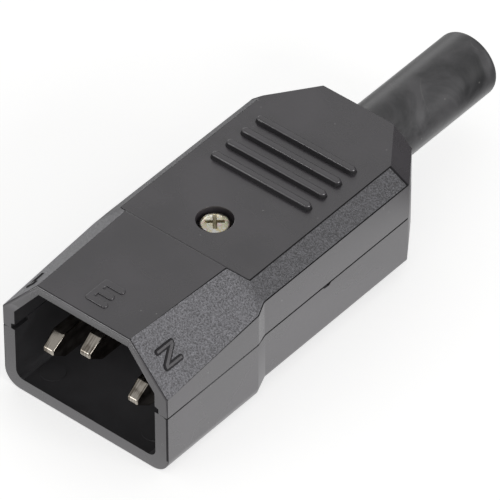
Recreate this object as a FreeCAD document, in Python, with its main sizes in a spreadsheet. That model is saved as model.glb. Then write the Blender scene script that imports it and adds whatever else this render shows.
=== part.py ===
import FreeCAD, Part
import math
import os
import re
import Sketcher

# A rewireable three-pin power plug. It lies on its underside, the mouth of the shroud faces -Y
# and the lead leaves towards +Y. Levels are measured up from the underside of the shroud, and
# stations back from the mouth. All sizes are in millimetres.
SIZES = {
    "shroud_length": 17.6,
    "shroud_height": 19.8,
    "shroud_width": 27.2,
    "shroud_top_width_front": 15.2,
    "shroud_top_width_back": 16.5,
    "shoulder_level_front": 12.9,
    "shoulder_level_back": 14.6,
    "shroud_corner_radius": 2.5,
    "step_length": 2.0,
    "mouth_depth": 15.8,
    "mouth_side_wall": 2.0,
    "mouth_top_wall": 1.35,
    "mouth_floor_wall": 2.0,
    "mouth_cheek_inset": 0.25,
    "mouth_cheek_lift": 0.15,
    "mouth_corner_radius": 1.2,
    "bulkhead_thickness": 1.9,
    "parting_level": 9.9,
    "housing_length": 54.0,
    "body_width": 26.1,
    "body_height": 15.9,
    "body_edge_radius": 1.0,
    "band_width": 2.45,
    "taper_length": 6.0,
    "rear_width": 17.6,
    "side_wall": 2.0,
    "roof_thickness": 1.7,
    "floor_thickness": 1.8,
    "tongue_width": 0.5,
    "tongue_height": 0.7,
    "tongue_setback": 2.5,
    "tongue_inset": 0.6,
    "fit_clearance": 0.1,
    "grip_count": 4,
    "grip_start": 34.4,
    "grip_pitch": 2.97,
    "grip_length": 16.4,
    "grip_width": 1.3,
    "grip_height": 0.75,
    "grip_draft": 12.0,
    "screw_well_diameter": 4.95,
    "screw_head_sink": 0.6,
    "screw_head_diameter": 3.9,
    "screw_head_height": 1.6,
    "screw_head_rounding": 0.7,
    "screw_shank_diameter": 2.9,
    "screw_shank_length": 11.0,
    "recess_span": 2.4,
    "recess_width": 0.7,
    "recess_depth": 0.8,
    "boss_diameter": 6.4,
    "pin_pitch": 14.0,
    "pin_height": 4.0,
    "pin_thickness": 2.0,
    "pin_setback": 1.0,
    "earth_setback": 0.1,
    "line_level": 8.26,
    "earth_level": 12.6,
    "tip_length": 2.3,
    "tip_height": 0.8,
    "tip_thickness": 1.7,
    "terminal_width": 5.0,
    "terminal_height": 4.6,
    "terminal_length": 8.0,
    "earth_terminal_width": 5.6,
    "earth_terminal_length": 4.0,
    "terminal_spacing": 0.4,
    "wire_hole_diameter": 2.2,
    "wire_hole_depth": 6.5,
    "grub_diameter": 2.5,
    "grub_length": 1.6,
    "grub_sink": 0.3,
    "grub_slot_width": 0.5,
    "grub_slot_depth": 0.6,
    "stop_thickness": 1.2,
    "cord_diameter": 7.2,
    "clamp_squeeze": 0.4,
    "clamp_width": 6.0,
    "clamp_end_gap": 5.2,
    "clamp_side_gap": 0.75,
    "clamp_ear_thickness": 2.2,
    "clamp_arch_thickness": 1.5,
    "clamp_arch_slope": 1.8,
    "saddle_drop": 1.5,
    "clamp_screw_diameter": 2.4,
    "clamp_screw_length": 6.0,
    "clamp_head_diameter": 4.2,
    "clamp_head_height": 1.5,
    "gland_length": 5.8,
    "gland_clearance": 0.6,
    "rear_wall": 2.0,
    "boot_wall": 1.2,
    "boot_length": 23.1,
    "boot_rim_radius": 0.9,
    "flange_lip": 1.5,
    "flange_thickness": 2.0,
}

# Places that several pieces share.
BODY_FRONT = "(shroud_length + step_length)"
BODY_TOP = "(parting_level + body_height / 2)"
BODY_UNDERSIDE = "(parting_level - body_height / 2)"
TAPER_START = "(housing_length - taper_length)"
CHAMBER_FRONT = "(mouth_depth + bulkhead_thickness)"
CHAMBER_REAR = "(housing_length - gland_length)"
CHAMBER_SIDE = "(body_width / 2 - side_wall)"
CEILING = "(" + BODY_TOP + " - roof_thickness)"
FLOOR = "(" + BODY_UNDERSIDE + " + floor_thickness)"
MOUTH_SIDE = "(shroud_width / 2 - mouth_side_wall)"
TONGUE_SIDE = "(" + CHAMBER_SIDE + " + tongue_inset)"
SCREW_SEAT = "(" + BODY_TOP + " - screw_head_sink - screw_head_height)"
TERMINAL_REAR = "(" + CHAMBER_FRONT + " + terminal_length)"
TERMINAL_TOP = "(line_level + terminal_height / 2)"
TERMINAL_UNDERSIDE = "(line_level - terminal_height / 2)"
EARTH_TERMINAL_REAR = "(" + CHAMBER_FRONT + " + earth_terminal_length)"
EARTH_TERMINAL_TOP = "(earth_level + pin_height / 2)"
SCREW_STATION = "(" + EARTH_TERMINAL_REAR + " + terminal_spacing + boss_diameter / 2)"
LINE_GRUB_STATION = "(" + CHAMBER_FRONT + " + terminal_length / 2)"
EARTH_GRUB_STATION = "(" + CHAMBER_FRONT + " + earth_terminal_length / 2)"
SADDLE_TOP = "(parting_level - saddle_drop)"
CLAMP_FRONT = "(" + CHAMBER_REAR + " - clamp_end_gap - clamp_width)"
CLAMP_MIDDLE = "(" + CLAMP_FRONT + " + clamp_width / 2)"
CLAMP_END = "(" + CHAMBER_SIDE + " - clamp_side_gap)"
CLAMP_BORE = "(cord_diameter - clamp_squeeze)"
CLAMP_ARCH_SIDE = "(" + CLAMP_BORE + " / 2 + clamp_arch_thickness)"
CLAMP_SCREW_OFFSET = "((" + CLAMP_ARCH_SIDE + " + " + CLAMP_END + ") / 2)"
CLAMP_EAR_TOP = "(" + SADDLE_TOP + " + clamp_ear_thickness)"
BOOT_RADIUS = "(cord_diameter / 2 + boot_wall)"
FLANGE_RADIUS = "(" + BOOT_RADIUS + " + flange_lip)"
FLANGE_BACK = "(housing_length - rear_wall)"
FLANGE_FRONT = "(" + FLANGE_BACK + " - flange_thickness)"
MIDDLE_STATION = "((housing_length + boot_length) / 2)"

doc = FreeCAD.newDocument("power_plug")
sheet = doc.addObject("Spreadsheet::Sheet", "Sizes")
for row, (name, value) in enumerate(SIZES.items(), start=1):
    sheet.set("A%d" % row, name)
    sheet.set("B%d" % row, str(value))
    sheet.setAlias("B%d" % row, name)
doc.recompute()


def formula(text):
    return re.sub(r"[a-z_]+", r"Sizes.\g<0>", text)


def new_body(label):
    body = doc.addObject("PartDesign::Body", label)
    body.Label = label
    body.AllowCompound = True
    body.setExpression("Placement.Base.y", formula("-" + MIDDLE_STATION))
    return body


def new_sketch(body, name, plane, x="0", y="0", z="0"):
    """A sketch parallel to an origin plane of the body, its own origin at x, y, z."""
    sketch = body.newObject("Sketcher::SketchObject", name)
    support = [item for item in body.Origin.OriginFeatures if item.Role == plane + "_Plane"]
    sketch.AttachmentSupport = [(support[0], "")]
    sketch.MapMode = "FlatFace"
    local = {"XY": (x, y, z), "XZ": (x, z, "-(" + y + ")"), "YZ": (y, z, x)}[plane]
    for axis, place in zip("xyz", local):
        sketch.setExpression("AttachmentOffset.Base." + axis, formula(place))
    return sketch


def drive(sketch, kind, geometry, size):
    index = sketch.addConstraint(Sketcher.Constraint(kind, *geometry, 1.0))
    sketch.setExpression("Constraints[%d]" % index, formula(size))


def place_point(sketch, geometry, point, x, y):
    """Ties one point of the sketch to its distances from the sketch's origin."""
    for kind, axis, distance in (("DistanceX", -2, x), ("DistanceY", -1, y)):
        if distance == "0":
            sketch.addConstraint(Sketcher.Constraint("PointOnObject", geometry, point, axis))
        else:
            drive(sketch, kind, (-1, 1, geometry, point), distance)


def add_outline(sketch, corners):
    count = len(corners)
    first = sketch.GeometryCount
    ring = []
    for i in range(count):
        turn = 2 * math.pi * i / count
        ring.append(FreeCAD.Vector(math.cos(turn), math.sin(turn), 0))
    for i in range(count):
        sketch.addGeometry(Part.LineSegment(ring[i], ring[(i + 1) % count]))
    for i in range(count):
        follower = first + (i + 1) % count
        sketch.addConstraint(Sketcher.Constraint("Coincident", first + i, 2, follower, 1))
    for i, (x, y) in enumerate(corners):
        place_point(sketch, first + i, 1, x, y)


def add_rectangle(sketch, left, right, low, high):
    add_outline(sketch, [(left, low), (right, low), (right, high), (left, high)])


def add_strip_pair(sketch, inner, width, front, back):
    """Two narrow strips along the plug, one in each side wall."""
    outer = inner + " + " + width
    add_rectangle(sketch, inner, outer, front, back)
    add_rectangle(sketch, "-(" + outer + ")", "-(" + inner + ")", front, back)


def add_circle(sketch, x, y, diameter):
    circle = Part.Circle(FreeCAD.Vector(0, 0, 0), FreeCAD.Vector(0, 0, 1), 1)
    index = sketch.addGeometry(circle)
    drive(sketch, "Diameter", (index,), diameter)
    place_point(sketch, index, 3, x, y)


def add_tub(sketch, half_width, low, high, radius):
    """Upright sides and a flat bottom joined by round corners, open edge on top."""
    point = FreeCAD.Vector
    up = point(0, 0, 1)
    right_arc = Part.ArcOfCircle(Part.Circle(point(9, 1, 0), up, 1), -math.pi / 2, 0)
    left_arc = Part.ArcOfCircle(Part.Circle(point(-9, 1, 0), up, 1), math.pi, 1.5 * math.pi)
    sketch.addGeometry(Part.LineSegment(point(-10, 10, 0), point(10, 10, 0)))
    sketch.addGeometry(Part.LineSegment(point(10, 10, 0), point(10, 1, 0)))
    sketch.addGeometry(right_arc)
    sketch.addGeometry(Part.LineSegment(point(9, 0, 0), point(-9, 0, 0)))
    sketch.addGeometry(left_arc)
    sketch.addGeometry(Part.LineSegment(point(-10, 1, 0), point(-10, 10, 0)))
    sketch.addConstraint(Sketcher.Constraint("Coincident", 0, 2, 1, 1))
    sketch.addConstraint(Sketcher.Constraint("Coincident", 1, 2, 2, 2))
    sketch.addConstraint(Sketcher.Constraint("Coincident", 2, 1, 3, 1))
    sketch.addConstraint(Sketcher.Constraint("Coincident", 3, 2, 4, 2))
    sketch.addConstraint(Sketcher.Constraint("Coincident", 4, 1, 5, 1))
    sketch.addConstraint(Sketcher.Constraint("Coincident", 5, 2, 0, 1))
    sketch.addConstraint(Sketcher.Constraint("Vertical", 2, 1, 2, 3))
    sketch.addConstraint(Sketcher.Constraint("Horizontal", 2, 2, 2, 3))
    sketch.addConstraint(Sketcher.Constraint("Horizontal", 4, 1, 4, 3))
    sketch.addConstraint(Sketcher.Constraint("Vertical", 4, 2, 4, 3))
    sketch.addConstraint(Sketcher.Constraint("Horizontal", 0))
    sketch.addConstraint(Sketcher.Constraint("Vertical", 1))
    sketch.addConstraint(Sketcher.Constraint("Horizontal", 3))
    sketch.addConstraint(Sketcher.Constraint("Vertical", 5))
    sketch.addConstraint(Sketcher.Constraint("Equal", 2, 4))
    drive(sketch, "Radius", (2,), radius)
    drive(sketch, "DistanceX", (-1, 1, 1, 1), half_width)
    drive(sketch, "DistanceX", (-1, 1, 5, 2), "-" + half_width)
    drive(sketch, "DistanceY", (-1, 1, 0, 1), high)
    if low == "0":
        sketch.addConstraint(Sketcher.Constraint("PointOnObject", 3, 1, -1))
    else:
        drive(sketch, "DistanceY", (-1, 1, 3, 1), low)


def add_bar(sketch, half_length, width):
    """A straight bar with round ends about the sketch's origin."""
    point = FreeCAD.Vector
    up = point(0, 0, 1)
    right_arc = Part.ArcOfCircle(Part.Circle(point(8, 0, 0), up, 1), -math.pi / 2, math.pi / 2)
    left_arc = Part.ArcOfCircle(Part.Circle(point(-8, 0, 0), up, 1), math.pi / 2, 1.5 * math.pi)
    sketch.addGeometry(Part.LineSegment(point(-8, -1, 0), point(8, -1, 0)))
    sketch.addGeometry(right_arc)
    sketch.addGeometry(Part.LineSegment(point(8, 1, 0), point(-8, 1, 0)))
    sketch.addGeometry(left_arc)
    for i in range(4):
        sketch.addConstraint(Sketcher.Constraint("Coincident", i, 2, (i + 1) % 4, 1))
    for arc in (1, 3):
        sketch.addConstraint(Sketcher.Constraint("Vertical", arc, 1, arc, 3))
        sketch.addConstraint(Sketcher.Constraint("Vertical", arc, 2, arc, 3))
        drive(sketch, "Diameter", (arc,), width)
    place_point(sketch, 1, 3, half_length, "0")
    place_point(sketch, 3, 3, "-" + half_length, "0")


def extrude(body, kind, name, sketch, length, reverse=False):
    """A Pad or Pocket of the sketch, bound to a length."""
    feature = body.newObject("PartDesign::" + kind, name)
    feature.Profile = sketch
    feature.Reversed = reverse
    feature.setExpression("Length", formula(length))
    sketch.Visibility = False
    doc.recompute()
    return feature


def spin(body, kind, name, sketch):
    """A Revolution or Groove of the sketch about its own upright axis."""
    feature = body.newObject("PartDesign::" + kind, name)
    feature.Profile = sketch
    feature.ReferenceAxis = (sketch, ["V_Axis"])
    feature.Angle = 360
    doc.recompute()
    return feature


def loft(body, kind, name, sketches):
    """An additive or subtractive loft with straight sides between the sketches."""
    feature = body.newObject("PartDesign::" + kind + "Loft", name)
    feature.Profile = sketches[0]
    feature.Sections = sketches[1:]
    feature.Ruled = True
    doc.recompute()
    return feature


def dress(body, kind, name, size, wanted):
    """A Chamfer or Fillet on the edges of the body that the test accepts."""
    base = body.Tip
    names = []
    for i, edge in enumerate(base.Shape.Edges, start=1):
        if wanted(edge):
            names.append("Edge%d" % i)
    feature = body.newObject("PartDesign::" + kind, name)
    feature.Base = (base, names)
    feature.setExpression("Radius" if kind == "Fillet" else "Size", formula(size))
    doc.recompute()
    return feature


def lies_at(edge, axis, value):
    return all(abs(getattr(vertex.Point, axis) - value) < 1e-4 for vertex in edge.Vertexes)


def add_body_outline(sketch):
    """Plan of the rear body, with its two slanted corners at the lead end."""
    add_outline(sketch, [
        ("-body_width / 2", BODY_FRONT),
        ("body_width / 2", BODY_FRONT),
        ("body_width / 2", TAPER_START),
        ("rear_width / 2", "housing_length"),
        ("-rear_width / 2", "housing_length"),
        ("-body_width / 2", TAPER_START),
    ])


def add_hood(sketch, half_width, shoulder, half_top, top):
    """Upper half of a cross-section: upright sides, slanted cheeks and a flat top."""
    add_outline(sketch, [
        ("-" + half_width, "parting_level"),
        (half_width, "parting_level"),
        (half_width, shoulder),
        (half_top, top),
        ("-" + half_top, top),
        ("-" + half_width, shoulder),
    ])


def add_cheek(sketch, side, half_top, shoulder):
    """What the slanted cheek leaves out of an upper corner of the shroud."""
    beyond_side = side + "(shroud_width / 2 + mouth_side_wall)"
    beyond_top = "shroud_height + mouth_top_wall"
    add_outline(sketch, [
        (side + half_top, "shroud_height"),
        (side + "shroud_width / 2", shoulder),
        (beyond_side, shoulder),
        (beyond_side, beyond_top),
        (side + half_top, beyond_top),
    ])


def add_gland_groove(body):
    """Stepped bore across the rear wall that holds the flange of the boot."""
    profile = new_sketch(body, "gland_profile", "XY", z="parting_level")
    add_outline(profile, [
        ("0", CHAMBER_REAR + " - rear_wall"),
        ("cord_diameter / 2 + gland_clearance", CHAMBER_REAR + " - rear_wall"),
        ("cord_diameter / 2 + gland_clearance", FLANGE_FRONT),
        (FLANGE_RADIUS + " + fit_clearance", FLANGE_FRONT),
        (FLANGE_RADIUS + " + fit_clearance", FLANGE_BACK),
        (BOOT_RADIUS + " + fit_clearance", FLANGE_BACK),
        (BOOT_RADIUS + " + fit_clearance", "housing_length + rear_wall"),
        ("0", "housing_length + rear_wall"),
    ])
    spin(body, "Groove", "gland_bore", profile)


def make_cover_shell():
    body = new_body("cover_shell")
    plan = new_sketch(body, "body_plan", "XY", z="parting_level")
    add_body_outline(plan)
    extrude(body, "Pad", "body_block", plan, "body_height / 2")
    top = sheet.parting_level + sheet.body_height / 2
    front = sheet.shroud_length + sheet.step_length

    def along_the_band(edge):
        ends = lies_at(edge, "y", front) or lies_at(edge, "y", sheet.housing_length)
        return lies_at(edge, "z", top) and not ends

    dress(body, "Chamfer", "grained_band", "band_width", along_the_band)

    back = new_sketch(body, "step_head", "XZ", y="shroud_length")
    add_hood(back, "shroud_width / 2", "shoulder_level_back",
             "shroud_top_width_back / 2", "shroud_height")
    foot = new_sketch(body, "step_foot", "XZ", y=BODY_FRONT)
    add_hood(foot, "body_width / 2", BODY_TOP + " - band_width",
             "(body_width / 2 - band_width)", BODY_TOP)
    loft(body, "Additive", "step", [back, foot])
    block = new_sketch(body, "shroud_outline", "XZ")
    add_rectangle(block, "-shroud_width / 2", "shroud_width / 2", "parting_level", "shroud_height")
    extrude(body, "Pad", "shroud", block, "shroud_length", True)
    for name, side in (("left", "-"), ("right", "")):
        at_mouth = new_sketch(body, name + "_cheek_at_mouth", "XZ")
        add_cheek(at_mouth, side, "shroud_top_width_front / 2", "shoulder_level_front")
        at_back = new_sketch(body, name + "_cheek_at_back", "XZ", y="shroud_length")
        add_cheek(at_back, side, "shroud_top_width_back / 2", "shoulder_level_back")
        loft(body, "Subtractive", name + "_cheek", [at_mouth, at_back])

    bar = new_sketch(body, "grip_outline", "XY", y="grip_start", z=BODY_TOP)
    add_bar(bar, "(grip_length - grip_width) / 2", "grip_width")
    grip = extrude(body, "Pad", "grip_bar", bar, "grip_height")
    grip.setExpression("TaperAngle", formula("-grip_draft"))
    doc.recompute()
    row = body.newObject("PartDesign::LinearPattern", "grip_row")
    row.Originals = [grip]
    row.Direction = (bar, ["V_Axis"])
    row.setExpression("Length", formula("grip_pitch * (grip_count - 1)"))
    row.setExpression("Occurrences", formula("grip_count"))
    body.Tip = row
    doc.recompute()

    opening = new_sketch(body, "mouth_outline", "XZ")
    add_hood(opening, MOUTH_SIDE, "(shoulder_level_front + mouth_cheek_lift)",
             "(shroud_top_width_front / 2 - mouth_cheek_inset)", "shroud_height - mouth_top_wall")
    extrude(body, "Pocket", "mouth", opening, "mouth_depth")
    chamber = new_sketch(body, "chamber_outline", "XY", z="parting_level")
    add_rectangle(chamber, "-" + CHAMBER_SIDE, CHAMBER_SIDE, CHAMBER_FRONT, CHAMBER_REAR)
    extrude(body, "Pocket", "chamber", chamber, CEILING + " - parting_level", True)

    boss = new_sketch(body, "boss_outline", "XY", y=SCREW_STATION, z="parting_level")
    add_circle(boss, "0", "0", "boss_diameter")
    extrude(body, "Pad", "screw_boss", boss, CEILING + " - parting_level")
    well = new_sketch(body, "well_outline", "XY", y=SCREW_STATION, z=BODY_TOP)
    add_circle(well, "0", "0", "screw_well_diameter")
    extrude(body, "Pocket", "screw_well", well, "screw_head_sink + screw_head_height")
    hole = new_sketch(body, "screw_hole_outline", "XY", y=SCREW_STATION, z=BODY_TOP)
    add_circle(hole, "0", "0", "screw_shank_diameter + 2 * fit_clearance")
    extrude(body, "Pocket", "screw_hole", hole, "body_height")

    slots = new_sketch(body, "pin_slot_outline", "XZ", y="mouth_depth")
    half_slot = "(pin_thickness / 2 + fit_clearance)"
    add_rectangle(slots, "-" + half_slot, half_slot, "parting_level",
                  "earth_level + pin_height / 2 + fit_clearance")
    for side in ("-", ""):
        middle = side + "pin_pitch / 2"
        add_rectangle(slots, middle + " - " + half_slot, middle + " + " + half_slot,
                      "parting_level", "line_level + pin_height / 2 + fit_clearance")
    extrude(body, "Pocket", "pin_slots", slots, "bulkhead_thickness")

    rebate = new_sketch(body, "rebate_outline", "XY", z="parting_level")
    add_strip_pair(rebate, MOUTH_SIDE, "tongue_width + fit_clearance", "0", "mouth_depth")
    add_strip_pair(rebate, TONGUE_SIDE + " - fit_clearance", "tongue_width + 2 * fit_clearance",
                   CHAMBER_FRONT, CLAMP_FRONT)
    extrude(body, "Pocket", "tongue_rebates", rebate, "tongue_height + fit_clearance", True)
    add_gland_groove(body)
    return body


def make_base_shell():
    body = new_body("base_shell")
    plan = new_sketch(body, "body_plan", "XY", z=BODY_UNDERSIDE)
    add_body_outline(plan)
    extrude(body, "Pad", "body_block", plan, "body_height / 2")
    underside = sheet.parting_level - sheet.body_height / 2
    front = sheet.shroud_length + sheet.step_length

    def along_the_underside(edge):
        return lies_at(edge, "z", underside) and not lies_at(edge, "y", front)

    dress(body, "Fillet", "underside_edge", "body_edge_radius", along_the_underside)

    back = new_sketch(body, "step_head", "XZ", y="shroud_length")
    add_tub(back, "(shroud_width / 2)", "0", "parting_level", "shroud_corner_radius")
    foot = new_sketch(body, "step_foot", "XZ", y=BODY_FRONT)
    add_tub(foot, "(body_width / 2)", BODY_UNDERSIDE, "parting_level", "body_edge_radius")
    loft(body, "Additive", "step", [back, foot])
    block = new_sketch(body, "shroud_outline", "XZ")
    add_tub(block, "(shroud_width / 2)", "0", "parting_level", "shroud_corner_radius")
    extrude(body, "Pad", "shroud", block, "shroud_length", True)

    opening = new_sketch(body, "mouth_outline", "XZ")
    add_tub(opening, MOUTH_SIDE, "mouth_floor_wall", "parting_level", "mouth_corner_radius")
    extrude(body, "Pocket", "mouth", opening, "mouth_depth")
    chamber = new_sketch(body, "chamber_outline", "XY", z="parting_level")
    add_rectangle(chamber, "-" + CHAMBER_SIDE, CHAMBER_SIDE, CHAMBER_FRONT, CHAMBER_REAR)
    extrude(body, "Pocket", "chamber", chamber, "parting_level - " + FLOOR)

    boss = new_sketch(body, "boss_outline", "XY", y=SCREW_STATION, z=FLOOR)
    add_circle(boss, "0", "0", "boss_diameter")
    extrude(body, "Pad", "screw_boss", boss, "parting_level - " + FLOOR)
    pilot = new_sketch(body, "pilot_outline", "XY", y=SCREW_STATION, z="parting_level")
    add_circle(pilot, "0", "0", "screw_shank_diameter + 2 * fit_clearance")
    extrude(body, "Pocket", "screw_pilot", pilot,
            "parting_level - " + SCREW_SEAT + " + screw_shank_length + fit_clearance")

    ledge = new_sketch(body, "ledge_outline", "XY", z=FLOOR)
    stop = new_sketch(body, "stop_outline", "XY", z=FLOOR)
    slots = new_sketch(body, "pin_slot_outline", "XZ", y="mouth_depth")
    half_slot = "(pin_thickness / 2 + fit_clearance)"
    for side in ("-", ""):
        middle = side + "pin_pitch / 2"
        left = middle + " - terminal_width / 2"
        right = middle + " + terminal_width / 2"
        add_rectangle(ledge, left, right, CHAMBER_FRONT, TERMINAL_REAR)
        add_rectangle(stop, left, right, TERMINAL_REAR, TERMINAL_REAR + " + stop_thickness")
        add_rectangle(slots, middle + " - " + half_slot, middle + " + " + half_slot,
                      "line_level - pin_height / 2", "parting_level")
    extrude(body, "Pad", "terminal_ledges", ledge, TERMINAL_UNDERSIDE + " - " + FLOOR)
    extrude(body, "Pad", "terminal_stops", stop, "line_level - wire_hole_diameter / 2 - " + FLOOR)
    rest = new_sketch(body, "earth_rest_outline", "XZ", y="mouth_depth")
    add_rectangle(rest, "-pin_thickness / 2", "pin_thickness / 2", FLOOR, "earth_level - pin_height / 2")
    extrude(body, "Pad", "earth_rest", rest, "bulkhead_thickness", True)
    add_rectangle(slots, "-" + half_slot, half_slot, "earth_level - pin_height / 2",
                  "earth_level + pin_height / 2")
    extrude(body, "Pocket", "pin_slots", slots, "bulkhead_thickness")

    saddle = new_sketch(body, "saddle_outline", "XY", z=FLOOR)
    reach = "(body_width / 2 - side_wall / 2)"
    add_rectangle(saddle, "-" + reach, reach, CLAMP_FRONT, CLAMP_FRONT + " + clamp_width")
    extrude(body, "Pad", "clamp_saddle", saddle, SADDLE_TOP + " - " + FLOOR)
    trough = new_sketch(body, "trough_outline", "XZ", y=CLAMP_FRONT)
    add_circle(trough, "0", "parting_level", CLAMP_BORE)
    extrude(body, "Pocket", "cord_trough", trough, "clamp_width")
    pilots = new_sketch(body, "clamp_pilot_outline", "XY", y=CLAMP_MIDDLE, z=SADDLE_TOP)
    for side in ("-", ""):
        add_circle(pilots, side + CLAMP_SCREW_OFFSET, "0", "clamp_screw_diameter + 2 * fit_clearance")
    extrude(body, "Pocket", "clamp_pilots", pilots, "clamp_screw_length - clamp_ear_thickness")

    tongue = new_sketch(body, "tongue_outline", "XY", z="parting_level")
    add_strip_pair(tongue, MOUTH_SIDE, "tongue_width", "tongue_setback", "mouth_depth - fit_clearance")
    add_strip_pair(tongue, TONGUE_SIDE, "tongue_width",
                   CHAMBER_FRONT + " + fit_clearance", CLAMP_FRONT + " - fit_clearance")
    extrude(body, "Pad", "tongues", tongue, "tongue_height")
    add_gland_groove(body)
    return body


def make_pin(label, middle, level, setback, rear, width, top, underside):
    """A flat pin with a bevelled tip and the terminal block on its tail."""
    body = new_body(label)
    tip = new_sketch(body, "tip_outline", "XZ", x=middle, y=setback, z=level)
    add_rectangle(tip, "-tip_thickness / 2", "tip_thickness / 2", "-tip_height / 2", "tip_height / 2")
    root = new_sketch(body, "tip_root", "XZ", x=middle, y=setback + " + tip_length", z=level)
    add_rectangle(root, "-pin_thickness / 2", "pin_thickness / 2", "-pin_height / 2", "pin_height / 2")
    loft(body, "Additive", "bevelled_tip", [tip, root])
    blade = new_sketch(body, "blade_outline", "XZ", x=middle, y=CHAMBER_FRONT, z=level)
    add_rectangle(blade, "-pin_thickness / 2", "pin_thickness / 2", "-pin_height / 2", "pin_height / 2")
    extrude(body, "Pad", "blade", blade, CHAMBER_FRONT + " - " + setback + " - tip_length")
    block = new_sketch(body, "terminal_outline", "XZ", x=middle, y=CHAMBER_FRONT)
    add_rectangle(block, "-" + width + " / 2", width + " / 2", underside, top)
    extrude(body, "Pad", "terminal", block, rear + " - " + CHAMBER_FRONT, True)
    return body


def bore_for_grub(body, middle, station, top):
    hole = new_sketch(body, "grub_hole_outline", "XY", x=middle, y=station, z=top)
    add_circle(hole, "0", "0", "grub_diameter + 2 * fit_clearance")
    extrude(body, "Pocket", "grub_hole", hole, "grub_sink + grub_length + fit_clearance")


def make_line_pin(label, middle):
    body = make_pin(label, middle, "line_level", "pin_setback", TERMINAL_REAR, "terminal_width",
                    TERMINAL_TOP, TERMINAL_UNDERSIDE)
    wire = new_sketch(body, "wire_hole_outline", "XZ", x=middle, y=TERMINAL_REAR, z="line_level")
    add_circle(wire, "0", "0", "wire_hole_diameter")
    extrude(body, "Pocket", "wire_hole", wire, "wire_hole_depth", True)
    bore_for_grub(body, middle, LINE_GRUB_STATION, TERMINAL_TOP)
    return body


def make_earth_pin():
    body = make_pin("earth_pin", "0", "earth_level", "earth_setback", EARTH_TERMINAL_REAR,
                    "earth_terminal_width", EARTH_TERMINAL_TOP, "(earth_level - pin_height / 2)")
    wire = new_sketch(body, "wire_hole_outline", "YZ", x="earth_terminal_width / 2",
                      y=EARTH_GRUB_STATION, z="earth_level")
    add_circle(wire, "0", "0", "wire_hole_diameter")
    extrude(body, "Pocket", "wire_hole", wire, "earth_terminal_width")
    bore_for_grub(body, "0", EARTH_GRUB_STATION, EARTH_TERMINAL_TOP)
    return body


def make_terminal_screws():
    """Three slotted grub screws, one down each terminal block."""
    body = new_body("terminal_screws")
    places = (
        ("line", "-pin_pitch / 2", LINE_GRUB_STATION, TERMINAL_TOP),
        ("neutral", "pin_pitch / 2", LINE_GRUB_STATION, TERMINAL_TOP),
        ("earth", "0", EARTH_GRUB_STATION, EARTH_TERMINAL_TOP),
    )
    for name, x, y, top in places:
        head = top + " - grub_sink"
        profile = new_sketch(body, name + "_grub_profile", "XZ", x=x, y=y, z=head)
        add_outline(profile, [
            ("0", "0"),
            ("grub_diameter / 2", "0"),
            ("grub_diameter / 2", "-grub_length"),
            ("0", "-grub_length"),
        ])
        spin(body, "Revolution", name + "_grub", profile)
        slot = new_sketch(body, name + "_slot_outline", "XY", x=x, y=y, z=head)
        add_rectangle(slot, "-grub_diameter", "grub_diameter", "-grub_slot_width / 2", "grub_slot_width / 2")
        extrude(body, "Pocket", name + "_slot", slot, "grub_slot_depth")
    return body


def make_cord_clamp():
    """An arched bar over the lead, with a screw hole through each ear."""
    body = new_body("cord_clamp")
    arch_top = "(parting_level + " + CLAMP_ARCH_SIDE + ")"
    front = new_sketch(body, "clamp_outline", "XZ", y=CLAMP_FRONT)
    add_outline(front, [
        ("-" + CLAMP_END, SADDLE_TOP),
        (CLAMP_END, SADDLE_TOP),
        (CLAMP_END, CLAMP_EAR_TOP),
        (CLAMP_ARCH_SIDE, CLAMP_EAR_TOP),
        (CLAMP_ARCH_SIDE + " - clamp_arch_slope", arch_top),
        ("-" + CLAMP_ARCH_SIDE + " + clamp_arch_slope", arch_top),
        ("-" + CLAMP_ARCH_SIDE, CLAMP_EAR_TOP),
        ("-" + CLAMP_END, CLAMP_EAR_TOP),
    ])
    extrude(body, "Pad", "clamp_bar", front, "clamp_width", True)
    arch = new_sketch(body, "arch_outline", "XZ", y=CLAMP_FRONT)
    add_circle(arch, "0", "parting_level", CLAMP_BORE)
    extrude(body, "Pocket", "arch", arch, "clamp_width")
    holes = new_sketch(body, "ear_hole_outline", "XY", y=CLAMP_MIDDLE, z=CLAMP_EAR_TOP)
    for side in ("-", ""):
        add_circle(holes, side + CLAMP_SCREW_OFFSET, "0", "clamp_screw_diameter + 2 * fit_clearance")
    extrude(body, "Pocket", "ear_holes", holes, "clamp_ear_thickness")
    return body


def make_clamp_screws():
    body = new_body("clamp_screws")
    for name, side in (("left", "-"), ("right", "")):
        x = side + CLAMP_SCREW_OFFSET
        profile = new_sketch(body, name + "_screw_profile", "XZ", x=x, y=CLAMP_MIDDLE, z=CLAMP_EAR_TOP)
        add_outline(profile, [
            ("0", "clamp_head_height"),
            ("clamp_head_diameter / 2", "clamp_head_height"),
            ("clamp_head_diameter / 2", "0"),
            ("clamp_screw_diameter / 2", "0"),
            ("clamp_screw_diameter / 2", "-clamp_screw_length"),
            ("0", "-clamp_screw_length"),
        ])
        spin(body, "Revolution", name + "_screw", profile)
        slot = new_sketch(body, name + "_slot_outline", "XY", x=x, y=CLAMP_MIDDLE,
                          z=CLAMP_EAR_TOP + " + clamp_head_height")
        add_rectangle(slot, "-clamp_head_diameter", "clamp_head_diameter",
                      "-grub_slot_width / 2", "grub_slot_width / 2")
        extrude(body, "Pocket", name + "_slot", slot, "grub_slot_depth")
    return body


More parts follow.
